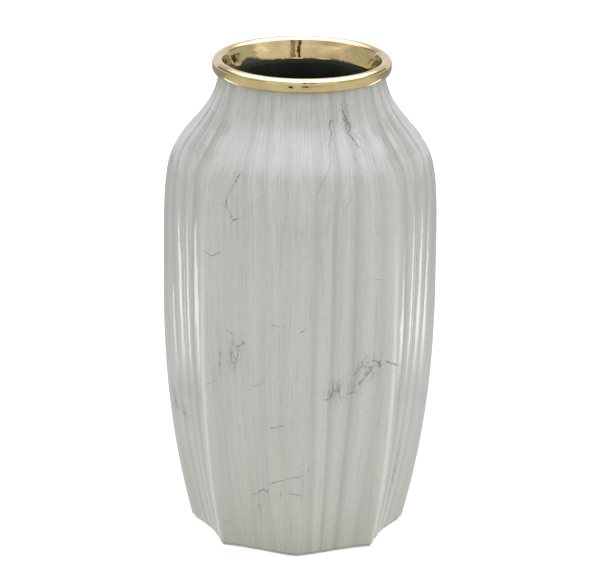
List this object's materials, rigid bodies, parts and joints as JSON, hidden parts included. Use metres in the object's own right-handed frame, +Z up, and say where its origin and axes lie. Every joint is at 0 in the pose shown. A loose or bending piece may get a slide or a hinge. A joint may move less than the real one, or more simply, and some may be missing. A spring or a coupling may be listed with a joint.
{
  "type": "porcelain vase",
  "caption": "Tall fluted porcelain flower vase with a soft shoulder, a narrow neck and a rolled gold lip; holds stems in its hollow body and stands on a scalloped foot.",
  "frame": {"origin": "on the table, under the middle of the foot", "axes": "+Z up through the middle of the mouth, -Y towards the front crest between the two shallow front flutes, +X to the right seen from the front"},
  "size_m": [0.14, 0.14, 0.25],
  "materials": {
    "marble_glaze": "gloss",
    "gold_lustre": "polished",
    "dark_glaze": "gloss",
    "bare_porcelain": "matte"
  },
  "bodies": {
    "root": {"porcelain_body": "marble_glaze", "gold_lip": "gold_lustre", "gold_throat_band": "gold_lustre", "inner_glaze": "dark_glaze", "foot_ring": "bare_porcelain"}
  },
  "joints": []
}
